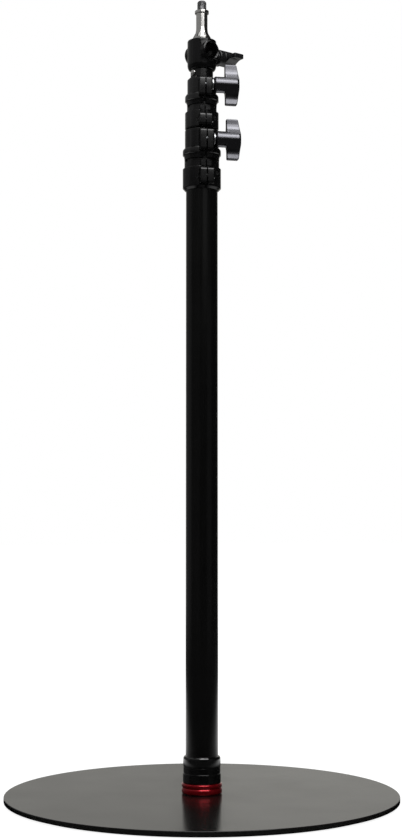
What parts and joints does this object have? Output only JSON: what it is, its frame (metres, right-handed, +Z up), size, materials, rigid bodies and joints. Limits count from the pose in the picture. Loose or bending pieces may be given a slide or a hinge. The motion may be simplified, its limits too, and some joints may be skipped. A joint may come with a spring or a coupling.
{
  "type": "light stand",
  "caption": "Telescoping light stand: nested tubes with split clamp collars on a round base, and a head with a cross socket and a threaded spigot.",
  "frame": {"origin": "centre of the base's underside, on the floor", "axes": "+Z up along the column; the head's cross socket lies along Y; the head's knob points to +X"},
  "size_m": [0.4236, 0.4236, 0.8773],
  "materials": {
    "powder_black": "fine powder coat, satin",
    "rubber_black": "matt",
    "anodised_red": "red anodised, satin",
    "anodised_black": "black anodised, satin",
    "gloss_black": "black, glossy",
    "collar_black": "black coat, satin",
    "gunmetal": "dark grey metallic, glossy",
    "zinc_steel": "zinc plated",
    "black_steel": "black oxide, satin",
    "chrome": "polished",
    "brass": "machined",
    "nylon_grey": "moulded, dark grey",
    "nylon_white": "moulded, natural",
    "knob_black": "moulded, black, satin"
  },
  "bodies": {
    "base": {"base_plate": "powder_black", "base_mat": "rubber_black", "base_hub": "anodised_red", "base_screw_1": "zinc_steel", "base_screw_2": "zinc_steel", "base_screw_3": "zinc_steel", "base_stud": "zinc_steel", "column_foot": "gloss_black", "foot_core": "zinc_steel", "main_tube": "anodised_black", "lower_collar": "collar_black", "lower_bush": "nylon_grey", "lower_clamp_bolt": "black_steel", "lower_clamp_nut": "black_steel", "lower_set_screw": "black_steel", "lower_knob_insert": "brass"},
    "lower_washer": {"lower_washer": "zinc_steel"},
    "lower_knob": {"lower_knob": "gunmetal", "lower_knob_stud": "zinc_steel"},
    "second_guide": {"second_guide": "nylon_white"},
    "second_section": {"second_tube": "anodised_black", "second_plug": "nylon_grey", "upper_collar": "collar_black", "upper_bush": "nylon_grey", "upper_clamp_bolt": "black_steel", "upper_clamp_nut": "black_steel", "upper_set_screw": "black_steel", "upper_knob_insert": "brass"},
    "upper_washer": {"upper_washer": "zinc_steel"},
    "upper_knob": {"upper_knob": "gunmetal", "upper_knob_stud": "zinc_steel"},
    "third_guide": {"third_guide": "nylon_white"},
    "third_section": {"third_tube": "anodised_black", "third_plug": "nylon_grey", "head_body": "collar_black", "head_pin": "chrome", "spigot": "chrome", "spigot_screw": "zinc_steel"},
    "head_pad": {"head_pad": "black_steel"},
    "head_knob": {"head_knob": "knob_black", "head_knob_stud": "zinc_steel"}
  },
  "joints": [
    {"name": "second_slide", "type": "slide", "parent": "base", "child": "second_guide", "axis": [0, 0, 1], "range_m": [0, 0.6]},
    {"name": "second_swivel", "type": "hinge", "parent": "second_guide", "child": "second_section", "pos_m": [0, 0, 0.4], "axis": [0, 0, 1], "continuous": true},
    {"name": "third_slide", "type": "slide", "parent": "second_section", "child": "third_guide", "axis": [0, 0, 1], "range_m": [0, 0.6]},
    {"name": "third_swivel", "type": "hinge", "parent": "third_guide", "child": "third_section", "pos_m": [0, 0, 0.4], "axis": [0, 0, 1], "continuous": true},
    {"name": "lower_knob_travel", "type": "slide", "parent": "base", "child": "lower_washer", "axis": [0.8965, -0.4431, 0], "range_m": [0, 0.003]},
    {"name": "lower_knob_turn", "type": "hinge", "parent": "lower_washer", "child": "lower_knob", "pos_m": [-0.00957, -0.01936, 0.71675], "axis": [0.8965, -0.4431, 0], "range_deg": [0, 1081]},
    {"name": "upper_knob_travel", "type": "slide", "parent": "second_section", "child": "upper_washer", "axis": [0.8805, -0.4741, 0], "range_m": [0, 0.003]},
    {"name": "upper_knob_turn", "type": "hinge", "parent": "upper_washer", "child": "upper_knob", "pos_m": [-0.00906, -0.01682, 0.77795], "axis": [0.8805, -0.4741, 0], "range_deg": [0, 1081]},
    {"name": "head_screw_travel", "type": "slide", "parent": "third_section", "child": "head_pad", "axis": [1, 0, 0], "range_m": [-0.00277, 0.0025]},
    {"name": "head_screw_turn", "type": "hinge", "parent": "head_pad", "child": "head_knob", "pos_m": [0, 0, 0.8179], "axis": [1, 0, 0], "range_deg": [-800, 721]}
  ],
  "couplings": [
    {"joint": "lower_knob_turn", "follows": "lower_knob_travel", "rad_per_m": 6283.2},
    {"joint": "upper_knob_turn", "follows": "upper_knob_travel", "rad_per_m": 6283.2},
    {"joint": "head_screw_turn", "follows": "head_screw_travel", "rad_per_m": 5026.5}
  ]
}
